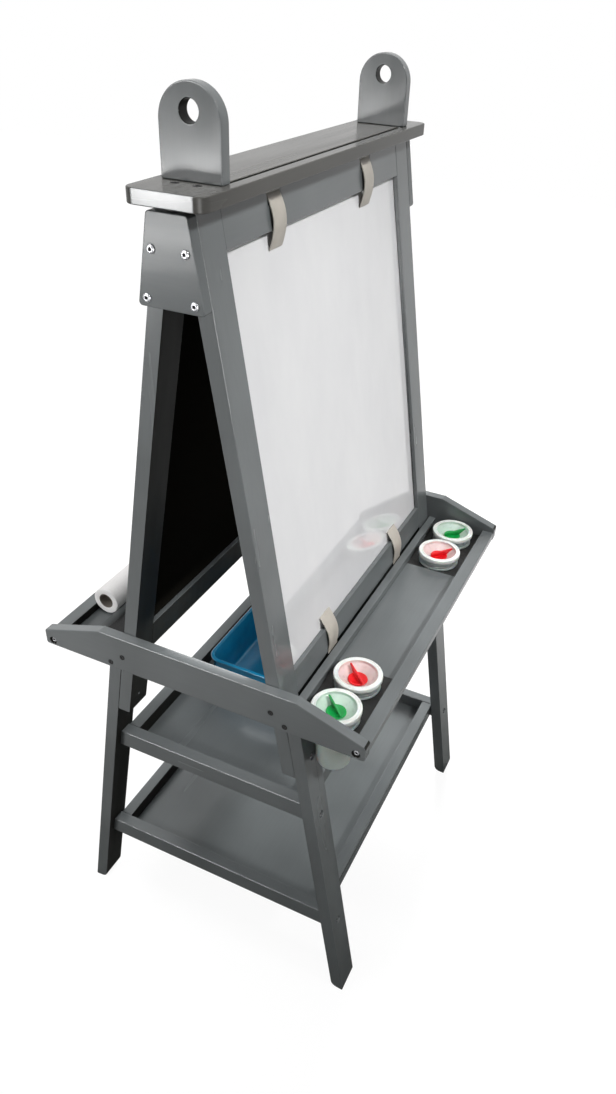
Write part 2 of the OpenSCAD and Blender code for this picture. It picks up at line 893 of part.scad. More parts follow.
module storage_bin() {
    body_l = bin_l - 2 * bin_rim;
    body_d = bin_d - 2 * bin_rim;
    color("#0d3f66")
    translate([0, 0, upper_z - shelf_recess])
        difference() {
            union() {
                linear_extrude(bin_h)
                    rounded_rect(body_l, body_d, bin_r - bin_rim);
                translate([0, 0, bin_h - bin_rim_h])
                    linear_extrude(bin_rim_h)
                        rounded_rect(bin_l, bin_d, bin_r);
            }
            translate([0, 0, bin_wall])
                linear_extrude(bin_h)
                    rounded_rect(body_l - 2 * bin_wall, body_d - 2 * bin_wall,
                                 bin_r - bin_rim - bin_wall);
        }
}

// ---- Fastener groups ----

module button_bolts() {
    color("#c9cbcc")
    on_all_quarters() {
        at_end_plate_bolts() bolt(bolt_l);
        at_tray_bolt() sunk_bolt(bolt_l);
        at_stile_bolt() sunk_bolt(2 * bar_t - 1);
        at_shelf_bolts() sunk_bolt(2 * bar_t - 1);
    }
}

module countersunk_screws() {
    color("#26282a")
    on_all_quarters() {
        at_top_screw() screw(screw_l);
        at_ear_screw() screw(screw_l);
        at_side_screws() screw(screw_l);
    }
}

top_board();
roll_ear_near();
roll_ear_far();
end_plate_near();
end_plate_far();
front_stile_near();
front_stile_far();
front_top_rail();
front_bottom_rail();
whiteboard();
back_stile_near();
back_stile_far();
back_top_rail();
back_bottom_rail();
chalkboard();
side_rail_near();
side_rail_far();
front_tray_inner_rail();
front_tray_outer_rail();
front_tray_floor();
cup_holder_near();
cup_holder_far();
back_tray_inner_rail();
back_tray_outer_rail();
back_tray_floor();
front_leg_near();
front_leg_far();
back_leg_near();
back_leg_far();
upper_shelf_end_near();
upper_shelf_end_far();
upper_shelf_front_rail();
upper_shelf_back_rail();
upper_shelf_panel();
lower_shelf_end_near();
lower_shelf_end_far();
lower_shelf_front_rail();
lower_shelf_back_rail();
lower_shelf_panel();
top_clip_near();
top_clip_far();
bottom_clip_near();
bottom_clip_far();
near_red_cup();
near_red_lid();
near_red_stopper();
near_green_cup();
near_green_lid();
near_green_stopper();
far_red_cup();
far_red_lid();
far_red_stopper();
far_green_cup();
far_green_lid();
far_green_stopper();
paper_roll();
roll_core();
storage_bin();
button_bolts();
countersunk_screws();
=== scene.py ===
"""The looks of the two-sided easel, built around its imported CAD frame."""

import json
import math

import bmesh
import bpy
from mathutils import Matrix, Vector


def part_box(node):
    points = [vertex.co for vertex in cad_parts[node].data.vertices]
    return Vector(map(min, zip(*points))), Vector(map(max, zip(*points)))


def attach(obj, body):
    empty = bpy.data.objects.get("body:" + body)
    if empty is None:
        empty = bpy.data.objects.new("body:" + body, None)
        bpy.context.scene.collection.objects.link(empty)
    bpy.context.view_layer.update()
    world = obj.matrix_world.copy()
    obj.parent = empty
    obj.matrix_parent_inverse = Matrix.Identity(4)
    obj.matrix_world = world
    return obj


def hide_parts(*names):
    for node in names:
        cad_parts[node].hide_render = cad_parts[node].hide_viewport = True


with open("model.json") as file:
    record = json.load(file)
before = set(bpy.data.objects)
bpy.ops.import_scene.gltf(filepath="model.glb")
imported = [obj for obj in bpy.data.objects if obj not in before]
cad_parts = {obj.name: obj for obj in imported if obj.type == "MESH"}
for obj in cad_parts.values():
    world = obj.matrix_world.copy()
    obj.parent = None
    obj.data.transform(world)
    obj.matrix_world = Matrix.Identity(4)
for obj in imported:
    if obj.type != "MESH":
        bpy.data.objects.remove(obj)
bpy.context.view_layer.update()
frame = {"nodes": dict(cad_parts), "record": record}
MM = 0.001
WELD = 0.002 * MM  # corners closer than this are one
NODES = frame["nodes"]
BODY_OF = {
    node: body
    for body, nodes in frame["record"]["behaviour"]["bodies"].items()
    for node in nodes
}


# ---- Camera ----

def set_camera():
    """The main view: the easel's near end, from the whiteboard side and above."""
    yaw, pitch, roll = 1.1473, -0.6065, 0.0426
    place = (-0.9881, -0.4772, 1.3391)
    forward = Vector((math.sin(yaw) * math.cos(pitch), math.cos(yaw) * math.cos(pitch), math.sin(pitch)))
    right = Vector((math.cos(yaw), -math.sin(yaw), 0))
    up = right.cross(forward)
    turn = Matrix((right, up, -forward)).transposed() @ Matrix.Rotation(roll, 3, "Z")
    data = bpy.data.cameras.new("camera")
    data.sensor_fit = "AUTO"
    data.sensor_width = 36
    data.lens = 28.197477
    data.shift_x = -0.00408592
    data.shift_y = 0.01903108
    camera = bpy.data.objects.new("camera", data)
    camera.matrix_world = Matrix.Translation(place) @ turn.to_4x4()
    bpy.context.scene.collection.objects.link(camera)
    bpy.context.scene.camera = camera


# ---- Shader helpers ----

def srgb(*values):
    """0 to 255 sRGB values as a linear colour with alpha."""
    linear = [v / 255 / 12.92 if v <= 10.3 else ((v / 255 + 0.055) / 1.055) ** 2.4 for v in values]
    return (*linear, 1.0)


class Shader:
    """One Principled material, with short calls for the nodes that vary it."""

    def __init__(self, name):
        self.material = bpy.data.materials.new(name)
        self.material.use_nodes = True
        self.nodes = self.material.node_tree.nodes
        self.links = self.material.node_tree.links
        self.surface = self.nodes["Principled BSDF"]

    def set(self, **values):
        for key, value in values.items():
            self.surface.inputs[key.replace("_", " ")].default_value = value

    def link(self, socket, target):
        self.links.new(socket, self.surface.inputs[target])

    def place(self, scale=(1, 1, 1)):
        """The object's own coordinates in metres, scaled."""
        coords = self.nodes.new("ShaderNodeTexCoord")
        mapping = self.nodes.new("ShaderNodeMapping")
        mapping.inputs["Scale"].default_value = scale
        self.links.new(coords.outputs["Object"], mapping.inputs["Vector"])
        return mapping.outputs["Vector"]

    def noise(self, size, scale=(1, 1, 1), detail=3.0, rough=0.5):
        """Noise whose blobs are about size metres across."""
        node = self.nodes.new("ShaderNodeTexNoise")
        node.inputs["Scale"].default_value = 1 / size
        node.inputs["Detail"].default_value = detail
        node.inputs["Roughness"].default_value = rough
        self.links.new(self.place(scale), node.inputs["Vector"])
        return node.outputs["Fac"]

    def ramp(self, socket, stops):
        """A colour between two stops, each a pair of position and colour."""
        node = self.nodes.new("ShaderNodeValToRGB")
        for element, stop in zip(node.color_ramp.elements, stops):
            element.position, element.color = stop
        self.links.new(socket, node.inputs["Fac"])
        return node.outputs["Color"]

    def span(self, socket, low, high, from_low=0.3, from_high=0.7):
        """The socket's from_low to from_high, stretched to low to high."""
        node = self.nodes.new("ShaderNodeMapRange")
        for key, value in (("From Min", from_low), ("From Max", from_high), ("To Min", low), ("To Max", high)):
            node.inputs[key].default_value = value
        self.links.new(socket, node.inputs["Value"])
        return node.outputs["Result"]

    def mix(self, factor, a, b, kind="MIX"):
        """Two colours mixed. Each value is a socket or a constant."""
        node = self.nodes.new("ShaderNodeMix")
        node.data_type = "RGBA"
        node.blend_type = kind
        factor_in, a_in, b_in = node.inputs[0], node.inputs[6], node.inputs[7]
        for socket, value in ((factor_in, factor), (a_in, a), (b_in, b)):
            if isinstance(value, bpy.types.NodeSocket):
                self.links.new(value, socket)
            else:
                socket.default_value = value
        return node.outputs[2]

    def bump(self, *layers):
        """Layers of (height socket, depth in metres), one over the other."""
        normal = None
        for height, depth in layers:
            node = self.nodes.new("ShaderNodeBump")
            node.inputs["Strength"].default_value = 1.0
            node.inputs["Distance"].default_value = depth
            self.links.new(height, node.inputs["Height"])
            if normal is not None:
                self.links.new(normal, node.inputs["Normal"])
            normal = node.outputs["Normal"]
        self.link(normal, "Normal")


# ---- Materials ----

STRETCH = 0.06  # streaks are drawn out along the grain by this scale
GRAIN_X, GRAIN_Y, GRAIN_Z = (STRETCH, 1, 1), (1, STRETCH, 1), (1, 1, STRETCH)
# near black of painted shade, which paint() blends in along an axis
PAINTED_SHADE_COLOUR = srgb(8, 9, 9)


def paint(name, base, grain, gloss=0.2, gleam=0.5, shade=None):
    """Sprayed gloss paint over wood: faint streaks along the grain, orange peel and small tone changes.
    gloss is the roughness, and gleam the strength of reflections. shade paints shade: an axis, and the places on it
    in metres where the paint is full and where it darkens to near black painted shade."""
    patch_size, streak_size, haze_size, peel_size = 0.16, 0.004, 0.03, 0.0016
    shader = Shader(name)
    dark = srgb(*[v * 0.93 for v in base])
    light = srgb(*[min(v * 1.05, 255) for v in base])
    tone = shader.ramp(shader.noise(patch_size, detail=2), [(0.35, dark), (0.65, light)])
    streak = shader.noise(streak_size, scale=grain, detail=4, rough=0.6)
    streaked = shader.ramp(streak, [(0.3, (0.96, 0.96, 0.96, 1)), (0.7, (1, 1, 1, 1))])
    colour = shader.mix(1.0, tone, streaked, "MULTIPLY")
    if shade:
        # Painted shade: along the axis the colour darkens to the painted shade colour.
        axis, full, gone = shade
        apart = shader.nodes.new("ShaderNodeSeparateXYZ")
        shader.links.new(shader.place(), apart.inputs["Vector"])
        reach = shader.span(apart.outputs[axis], 0.0, 1.0, full, gone)
        colour = shader.mix(reach, colour, PAINTED_SHADE_COLOUR)
    shader.link(colour, "Base Color")
    haze = shader.noise(haze_size, scale=grain)
    shader.link(shader.span(haze, gloss - 0.06, gloss + 0.08), "Roughness")
    shader.set(Specular_IOR_Level=gleam)
    shader.bump((streak, 0.00003), (shader.noise(peel_size, detail=1), 0.00002))
    return shader.material


PAINT = (102, 106, 107)
MATERIALS = {
    "paint_x": paint("paint_along_x", PAINT, GRAIN_X),
    "paint_y": paint("paint_along_y", PAINT, GRAIN_Y),
    "paint_z": paint("paint_along_z", PAINT, GRAIN_Z),
    # Near black for faces in deep shade: painted shade on the back half's inward faces and on slot and hole walls.
    "near_black_shade": paint("near_black_shade", (30, 30, 27), GRAIN_Z, gloss=0.45, gleam=0.1),
    # A darker, warmer copy of the grey paint for the top board: painted shade for the dark look of its glossy top.
    "top_board_shaded_paint": paint("top_board_shaded_paint", (90, 89, 86), GRAIN_X, gleam=0.12),
    "end_paint": paint("end_paint", PAINT, GRAIN_Y, gloss=0.24, gleam=0.9),
    "plate_paint": paint("plate_paint", PAINT, GRAIN_Y, gleam=0.22),
    # Painted shade: the back tray's ledge darkens to near black towards the back frame.
    "ledge_painted_shade": paint("ledge_painted_shade", PAINT, GRAIN_X, gleam=0.3, shade=("Y", 0.191, 0.174)),
    # Painted shadow: below the tray inner rail's top the front bottom rail is near black, standing for the shadow
    # in the gap.
    "gap_painted_shadow": paint("gap_painted_shadow", PAINT, GRAIN_X, shade=("Z", 0.5622, 0.5614)),
}


def whiteboard_face():
    """Glossy white with faint wiped smears."""
    shader = Shader("whiteboard_face")
    smear = shader.noise(0.09, scale=(1, 1, 0.4), detail=4, rough=0.6)
    shader.link(shader.ramp(smear, [(0.3, srgb(222, 222, 224)), (0.7, srgb(230, 230, 231))]), "Base Color")
    shader.link(shader.span(smear, 0.03, 0.07), "Roughness")
    shader.set(Coat_Weight=0.4, Coat_Roughness=0.03)
    shader.bump((shader.noise(0.05, detail=1), 0.00002))
    return shader.material


def chalkboard_face():
    """Matt black with a trace of chalk dust."""
    shader = Shader("chalkboard_face")
    dust = shader.noise(0.05, scale=(1, 1, 0.5), detail=6, rough=0.65)
    shader.link(shader.ramp(dust, [(0.35, srgb(14, 15, 14)), (0.75, srgb(30, 31, 30))]), "Base Color")
    shader.link(shader.span(dust, 0.6, 0.8), "Roughness")
    shader.bump((shader.noise(0.0007, detail=2), 0.00005))
    return shader.material


def plastic(name, base, rough, grit=0.0, sheen=0.0, **values):
    """Moulded plastic: slight tone changes, uneven gloss and, with grit, a fine moulded grain."""
    shader = Shader(name)
    tone = shader.noise(0.03, detail=3)
    light = srgb(*[min(v * 1.04, 255) for v in base])
    shader.link(shader.ramp(tone, [(0.3, srgb(*[v * 0.94 for v in base])), (0.7, light)]), "Base Color")
    shader.link(shader.span(shader.noise(0.008, detail=4), rough * 0.8, rough * 1.25), "Roughness")
    shader.set(Coat_Weight=sheen, **values)
    shader.bump((shader.noise(0.0009, detail=2), 0.00002 + grit), (tone, 0.0001))
    return shader.material


def metal(name, base, rough):
    """Plated steel with fine turned scratches."""
    shader = Shader(name)
    fine = shader.noise(0.0008, scale=(1, 1, 0.2), detail=4)
    shader.link(shader.ramp(fine, [(0.3, srgb(*[v * 0.85 for v in base])), (0.7, srgb(*base))]), "Base Color")
    shader.link(shader.span(fine, rough * 0.7, rough * 1.5), "Roughness")
    shader.set(Metallic=1.0)
    shader.bump((fine, 0.00002))
    return shader.material


def paper(name, base, fibre):
    """Paper or board, whose fibres are about fibre metres across."""
    shader = Shader(name)
    weave = shader.noise(fibre, scale=(0.3, 1, 1), detail=5, rough=0.7)
    shader.link(shader.ramp(weave, [(0.3, srgb(*[v * 0.95 for v in base])), (0.7, srgb(*base))]), "Base Color")
    shader.set(Roughness=0.85)
    shader.bump((weave, 0.00006))
    return shader.material


def shaded_board_back():
    """The dark board behind the chalk face, kept near black as painted shade of the inside of the easel."""
    shader = Shader("shaded_board_back")
    fibre = shader.noise(0.002, detail=5, rough=0.7)
    shader.link(shader.ramp(fibre, [(0.3, srgb(15, 14, 12)), (0.7, srgb(21, 20, 17))]), "Base Color")
    shader.set(Roughness=0.7, Specular_IOR_Level=0.0)
    shader.bump((fibre, 0.00003))
    return shader.material


MATERIALS |= {
    "shaded_board_back": shaded_board_back(),
    "whiteboard": whiteboard_face(),
    "chalkboard": chalkboard_face(),
    # The cup holders: dark plastic, made near black as painted shade of the wells around the lids.
    "black_plastic": plastic("black_plastic", (22, 22, 21), 0.5, grit=0.00003),
    "clear_plastic": plastic(
        "frosted_plastic", (205, 210, 206), 0.38, Transmission_Weight=0.55, IOR=1.45, Subsurface_Weight=0.2),
    "white_plastic": plastic("white_plastic", (238, 238, 232), 0.28, sheen=0.2, Subsurface_Weight=0.1),
    "red_plastic": plastic("red_plastic", (222, 16, 24), 0.42),
    "green_plastic": plastic("green_plastic", (0, 150, 66), 0.42),
    "red_funnel": plastic("red_lid_funnel", (226, 196, 192), 0.3, sheen=0.2, Subsurface_Weight=0.15),
    "green_funnel": plastic("green_lid_funnel", (198, 214, 198), 0.3, sheen=0.2, Subsurface_Weight=0.15),
    "clip_beige": plastic("clip_plastic", (184, 178, 168), 0.42, grit=0.00002),
    "blue_plastic": plastic("blue_plastic", (20, 112, 150), 0.14, sheen=0.5),
    "paper": paper("roll_paper", (250, 248, 247), 0.0012),
    # The roll's core: brown board, made darker as painted shade of its bore.
    "cardboard": paper("core_board", (92, 84, 74), 0.002),
    "bolt_chrome": metal("bolt_plating", (168, 169, 172), 0.24),
    # Black screws. In the bolts the same near black fills the hex recesses as painted shade.
    "screw_black": plastic("screw_and_recess_shade_finish", (14, 14, 15), 0.5, Specular_IOR_Level=0.25),
}


# ---- Mesh helpers ----

def add_piece(name, mesh, material, body, replaced):
    """Puts a finished mesh in the scene, riding on a body and standing for CAD nodes."""
    piece = bpy.data.objects.new(name, mesh)
    bpy.context.scene.collection.objects.link(piece)
    if not mesh.materials:
        mesh.materials.append(MATERIALS[material])
    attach(piece, body)
    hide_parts(*replaced)
    return piece


def finish_node(node, mesh, material):
    """The finished mesh of one CAD node, on that node's body and slot."""
    return add_piece(node + "_finish", mesh, material, BODY_OF[node], [node])


def smooth(mesh):
    for face in mesh.polygons:
        face.use_smooth = True


def eased_copy(node, material, radius, others=(), shortest=0.6 * MM):
    """A CAD node's solid with its sharp edges rounded over. Fine rims of drilled holes stay crisp.
    others holds pairs of a further material and the test for the faces that wear it."""
    flat, sharp_from = math.radians(0.5), math.radians(28)
    bm = bmesh.new()
    bm.from_mesh(NODES[node].data)
    bmesh.ops.remove_doubles(bm, verts=bm.verts, dist=WELD)
    bmesh.ops.dissolve_limit(
        bm, angle_limit=flat, verts=bm.verts, edges=bm.edges, use_dissolve_boundaries=False)
    weight = bm.edges.layers.float.new("bevel_weight_edge")
    for edge in bm.edges:
        sharp = len(edge.link_faces) == 2 and edge.calc_face_angle(0) > sharp_from
        rounded = sharp and edge.calc_length() > shortest
        edge[weight] = 1.0 if rounded else 0.0
        edge.smooth = rounded or not sharp
    bm.normal_update()
    for face in bm.faces:
        face.material_index = max([i for i, (_, test) in enumerate(others, 1) if test(face)], default=0)
    mesh = bpy.data.meshes.new(node + "_eased")
    bm.to_mesh(mesh)
    bm.free()
    for key in ("custom_normal", "UVMap"):
        if key in mesh.attributes:
            mesh.attributes.remove(mesh.attributes[key])
    for key in (material, *[other for other, _ in others]):
        mesh.materials.append(MATERIALS[key])
    smooth(mesh)
    piece = finish_node(node, mesh, material)
    bevel = piece.modifiers.new("eased_edges", "BEVEL")
    bevel.width = radius
    bevel.segments = 3
    bevel.limit_method = "WEIGHT"
    bevel.use_clamp_overlap = False
    bevel.harden_normals = True
    bevel.miter_outer = "MITER_ARC"
    return piece


def lathe(profile, steps=96, shape=None, shaped_from=0):
    """A closed mesh from (radius, height) points in mm, turned about Z. From the point shaped_from on,
    shape gives the radius its outline, as a factor for each angle, and the faces wear the second material."""
    bm = bmesh.new()
    rings = []
    for index, (radius, height) in enumerate(profile):
        radius, height = radius * MM, height * MM
        if radius < 1e-7:
            rings.append([bm.verts.new((0, 0, height))])
            continue
        ring = []
        for i in range(steps):
            turn = 2 * math.pi * i / steps
            reach = radius * (shape(turn) if shape and index >= shaped_from else 1)
            ring.append(bm.verts.new((reach * math.cos(turn), reach * math.sin(turn), height)))
        rings.append(ring)
    for index, (low, high) in enumerate(zip(rings, rings[1:])):
        for i in range(steps):
            j = (i + 1) % steps
            if len(low) == 1:
                corners = (low[0], high[j], high[i])
            elif len(high) == 1:
                corners = (low[i], low[j], high[0])
            else:
                corners = (low[i], low[j], high[j], high[i])
            bm.faces.new(corners).material_index = int(shape is not None and index >= shaped_from)
    return bm


def arc(centre, radius, start, end, steps=6):
    """Points of an arc in the plane of a profile, angles in degrees."""
    angles = [math.radians(start + (end - start) * i / steps) for i in range(steps + 1)]
    return [(centre[0] + radius * math.cos(a), centre[1] + radius * math.sin(a)) for a in angles]


def to_mesh(bm, name, place=None):
    """A smooth mesh from a bmesh, moved to its place."""
    if place is not None:
        bmesh.ops.transform(bm, matrix=place, verts=bm.verts)
    bmesh.ops.recalc_face_normals(bm, faces=bm.faces)
    mesh = bpy.data.meshes.new(name)
    bm.to_mesh(mesh)
    bm.free()
    smooth(mesh)
    return mesh


def hexagon(turn):
    """The outline of a hexagonal recess, as a factor of its widest radius."""
    return math.cos(math.pi / 6) / math.cos(turn % (math.pi / 3) - math.pi / 6)


def cross(turn):
    """The outline of a crosshead recess, as a factor of its widest radius."""
    return 0.35 + 0.65 * abs(math.cos(2 * turn)) ** 8


SPIN_PER_HEAD = 0.77  # each recess is turned on by this, so that no two look alike


def centre(points):
    return sum(points, Vector()) / len(points)


def head_place(points, index):
    """Where a fastener's widest ring lies, with Z out along its shank, from the corners of its CAD solid."""
    middle = centre(points)
    reach = max((p - middle).length for p in points)
    end = centre([p for p in points if (p - middle).length > reach - 0.02 * MM])
    along = (middle - end).normalized()
    spread = [((p - end) - along * (p - end).dot(along)).length for p in points]
    rim = centre([p for p, s in zip(points, spread) if s > max(spread) - 0.05 * MM])
    spin = Matrix.Rotation(index * SPIN_PER_HEAD, 4, "Z")
    return Matrix.Translation(rim) @ along.to_track_quat("Z", "Y").to_matrix().to_4x4() @ spin


def join(parts, name):
    """One mesh from several, each moved to its place."""
    whole = bmesh.new()
    for bm, place in parts:
        bmesh.ops.transform(bm, matrix=place, verts=bm.verts)
        part = bpy.data.meshes.new(name + "_part")
        bm.to_mesh(part)
        bm.free()
        whole.from_mesh(part)
        bpy.data.meshes.remove(part)
    return to_mesh(whole, name)


def rounded_loop(length, depth, radius, height, steps=10):
    """A closed loop of points around a rectangle with round corners, in mm."""
    loop = []
    for corner, (sx, sy) in enumerate(((1, 1), (-1, 1), (-1, -1), (1, -1))):
        middle = (sx * (length / 2 - radius), sy * (depth / 2 - radius))
        for x, y in arc(middle, radius, 90 * corner, 90 * corner + 90, steps):
            loop.append(Vector((x, y, height)) * MM)
    return loop


def skin(loops, closed=True):
    """A mesh through loops of equal length, capped at both ends or closed on itself."""
    bm = bmesh.new()
    rings = [[bm.verts.new(point) for point in loop] for loop in loops]
    pairs = list(zip(rings, rings[1:]))
    if closed:
        pairs.append((rings[-1], rings[0]))
    else:
        bm.faces.new(rings[0])
        bm.faces.new(rings[-1])
    for low, high in pairs:
        for i in range(len(low)):
            j = (i + 1) % len(low)
            bm.faces.new((low[i], low[j], high[j], high[i]))
    return bm


def loose_parts(node):
    """The corners of each separate solid of a CAD node."""
    bm = bmesh.new()
    bm.from_mesh(NODES[node].data)
    bmesh.ops.remove_doubles(bm, verts=bm.verts, dist=WELD)
    seen, parts = set(), []
    for start in bm.verts:
        if start.index in seen:
            continue
        seen.add(start.index)
        stack, part = [start], []
        while stack:
            vert = stack.pop()
            part.append(vert.co.copy())
            for edge in vert.link_edges:
                other = edge.other_vert(vert)
                if other.index not in seen:
                    seen.add(other.index)
                    stack.append(other)
        parts.append(part)
    bm.free()
    return parts


# ---- Painted boards ----

SPLAY = math.radians(9.74)
INWARDS = Vector((0, -math.cos(SPLAY), -math.sin(SPLAY)))
SQUARE_ON = 0.98  # a face looks along an axis when the cosine between them is above this
ALONG_Y = ("side_rail_near", "side_rail_far", "upper_shelf_end_near", "upper_shelf_end_far",
           "lower_shelf_end_near", "lower_shelf_end_far")
ALONG_Z = ("roll_ear_near", "roll_ear_far", "end_plate_near", "end_plate_far",
           "front_stile_near", "front_stile_far", "back_stile_near", "back_stile_far",
           "front_leg_near", "front_leg_far", "back_leg_near", "back_leg_far")
ALONG_X = ("top_board", "front_top_rail", "front_bottom_rail",
           "front_tray_inner_rail", "front_tray_outer_rail", "front_tray_floor",
           "back_tray_inner_rail", "back_tray_outer_rail", "back_tray_floor",
           "upper_shelf_front_rail", "upper_shelf_back_rail", "upper_shelf_panel",
           "lower_shelf_front_rail", "lower_shelf_back_rail", "lower_shelf_panel",
           "back_top_rail", "back_bottom_rail")
# Nodes whose inward faces wear near black painted shade.
SHADE_INSIDE = ("back_top_rail", "back_bottom_rail", "back_stile_near", "back_stile_far",
               "back_leg_near", "back_leg_far", "back_tray_outer_rail",
               "upper_shelf_back_rail", "lower_shelf_back_rail")
THIN = ("front_tray_floor", "back_tray_floor", "upper_shelf_panel", "lower_shelf_panel")
BOARD_EDGE, CLIP_EDGE, THIN_EDGE, PANEL_EDGE = 1.3 * MM, 0.5 * MM, 0.4 * MM, 0.3 * MM
OWN_PAINT = {
    "top_board": "top_board_shaded_paint", "back_tray_inner_rail": "ledge_painted_shade", "front_bottom_rail": "gap_painted_shadow",
    "end_plate_near": "plate_paint", "end_plate_far": "plate_paint",
}


def looks_inwards(face):
    """Whether a face of the back half looks at the inside of the easel."""
    return face.normal.dot(INWARDS) > SQUARE_ON


def in_slot(face):
    """Whether a face of the top board is a wall of the paper slot."""
    middle = face.calc_center_median()
    inside_edges, long_wall = 40 * MM, 1e-3
    return abs(face.normal.y) > SQUARE_ON and abs(middle.y) < inside_edges and face.calc_area() > long_wall


def in_screw_hole(face):
    """Whether a face of a side rail is a strip of a hole's wall, and not of its top edge."""
    top_strip, largest_strip = 8 * MM, 15e-6
    below_top = face.calc_center_median().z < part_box("side_rail_near")[1].z - top_strip
    return below_top and abs(face.normal.x) < 0.5 and face.calc_area() < largest_strip


def in_dowel_hole(face):
    """Whether a face of an ear is a strip of the dowel hole's wall. It looks towards the middle of the
    ear's round top, which lies inside the hole, and the ear's outer faces look away from it."""
    arch_radius = 34 * MM
    middle = face.calc_center_median()
    inner = Vector((middle.x, 0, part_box("roll_ear_near")[1].z - arch_radius))
    return abs(face.normal.x) < 0.3 and face.normal.dot(inner - middle) > 0


def looks_endwards(face):
    """Whether a face looks along the boards."""
    return abs(face.normal.x) > SQUARE_ON


def build_boards():
    """Every painted board, the two writing boards, the cup holders and the clips."""
    # Painted shade: the paper slot's walls, the screw and dowel hole walls and the back half's inward faces wear
    # near black.
    others = {"top_board": [("end_paint", looks_endwards), ("near_black_shade", in_slot)]}
    for node in SHADE_INSIDE:
        others[node] = [("near_black_shade", looks_inwards)]
    for end in ("near", "far"):
        others["roll_ear_" + end] = [("near_black_shade", in_dowel_hole)]
        others["side_rail_" + end] = [("near_black_shade", in_screw_hole)]
    for nodes, material in ((ALONG_X, "paint_x"), (ALONG_Y, "paint_y"), (ALONG_Z, "paint_z")):
        for node in nodes:
            radius = THIN_EDGE if node in THIN else BOARD_EDGE
            eased_copy(node, OWN_PAINT.get(node, material), radius, others.get(node, ()))
    eased_copy("whiteboard", "whiteboard", PANEL_EDGE)
    # Painted shade: the chalkboard's inward back wears the near black shaded board.
    eased_copy("chalkboard", "chalkboard", PANEL_EDGE, [("shaded_board_back", looks_inwards)])
    for end in ("near", "far"):
        eased_copy("cup_holder_" + end, "black_plastic", THIN_EDGE, shortest=0.2 * MM)
        for row in ("top", "bottom"):
            eased_copy(f"{row}_clip_{end}", "clip_beige", CLIP_EDGE)


# ---- Paint cups ----

NECK = 18.1  # from a cup's flange to its top, in mm
SEAT = 12  # from a lid's top down to the stopper's seat, in mm


def node_axis(node):
    """The middle of a turned CAD node in plan, and its lowest and highest point, in metres."""
    low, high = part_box(node)
    return (low.x + high.x) / 2, (low.y + high.y) / 2, low.z, high.z


def build_cup(node):
    """A thin frosted cup: a foot ring, a rounded bottom, a tapered side, a flange and a ribbed neck."""
    x, y, low, high = node_axis(node)
    top = (high - low) / MM
    flange = top - NECK
    outer = [(0, 1.2), (15.5, 1.2), (16.5, 0)]
    outer += arc((14.6, 8.6), 8.6, -65, -8, 8)
    outer += [(25.4, 40), (25.55, 41), (28.2, flange - 1.2), (28.4, flange - 0.4)]
    outer += [(31.6, flange), (32, flange + 0.5), (32, flange + 1.5), (31.6, flange + 2),
              (30.6, flange + 2.2)]
    for rib in (5.2, 8.4, 11.6):
        middle = flange + rib
        outer += [(30, middle - 1), (30.5, middle - 0.4), (30.5, middle + 0.4), (30, middle + 1)]
    outer += [(30, top - 0.5), (29.6, top)]
    inner = [(29.1, top), (28.9, top - 0.4), (28.9, flange + 1.4), (26.9, flange - 0.4), (24, 41)]
    inner += arc((14.6, 8.6), 7.0, -8, -70, 8) + [(0, 2.8)]
    mesh = to_mesh(lathe(outer + inner, 128), node, Matrix.Translation((x, y, low)))
    finish_node(node, mesh, "clear_plastic")


def build_lid(node, funnel):
    """A snap-on lid: a broad ring, a step inside it and a tinted funnel down to the stopper's seat."""
    x, y, low, high = node_axis(node)
    top = (high - low) / MM
    rim = top - 6.5
    outer = [(30.8, rim + 0.4), (31.1, rim), (33.1, rim)] + arc((33.1, rim + 0.5), 0.5, -90, 0, 3)
    outer += arc((32.1, top - 1.5), 1.5, 0, 90, 6)
    outer += [(30.6, top), (30.3, top - 0.35), (28.9, top - 0.35), (28.6, top)]
    outer += arc((27.7, top - 1.1), 1.1, 90, 180, 5)
    outer += [(26.1, top - 3.4), (25.7, top - 4), (24.9, top - 4.4), (14.6, top - 11.6)]
    outer += [(13.8, top - SEAT), (11.8, top - SEAT)]
    outer += [(11.8, top - 13.6), (13.8, top - 13.6), (15, top - 13), (27.1, top - 4.9), (28.1, top - 3.4)]
    outer += [(28.2, top - 1.6), (30.8, top - 1.6)]
    bm = lathe(outer + outer[:1], 128)
    bmesh.ops.remove_doubles(bm, verts=bm.verts, dist=0.001 * MM)
    bm.verts.ensure_lookup_table()
    funnel_radius = 26.9 * MM
    inside = {i for i, vert in enumerate(bm.verts) if vert.co.xy.length < funnel_radius}
    for face in bm.faces:
        face.material_index = int(all(vert.index in inside for vert in face.verts))
    mesh = to_mesh(bm, node, Matrix.Translation((x, y, low)))
    mesh.materials.append(MATERIALS["white_plastic"])
    mesh.materials.append(MATERIALS[funnel])
    finish_node(node, mesh, "white_plastic")


def fin_loop(shrink, across):
    """The kite outline of a stopper's fin at one thickness, in mm, with its corners rounded."""
    corners = [(-16, 6.55), (-12.6, 2.1), (12.6, 2.1), (25.6, 13)]
    radii = [1.6, 0.6, 2.0, 1.2]
    loop = []
    for i, corner in enumerate(corners):
        here = Vector(corner)
        before = (Vector(corners[i - 1]) - here).normalized()
        after = (Vector(corners[(i + 1) % 4]) - here).normalized()
        half = before.angle(after) / 2
        radius = radii[i]
        middle = here + (before + after).normalized() * radius / math.sin(half)
        start = middle + (here + before * radius / math.tan(half) - middle) * (radius - shrink) / radius
        stop = middle + (here + after * radius / math.tan(half) - middle) * (radius - shrink) / radius
        for k in range(7):
            point = start.lerp(stop, k / 6) - middle
            point = middle + point.normalized() * (radius - shrink)
            loop.append(Vector((point.x, across, point.y)) * MM)
    return loop


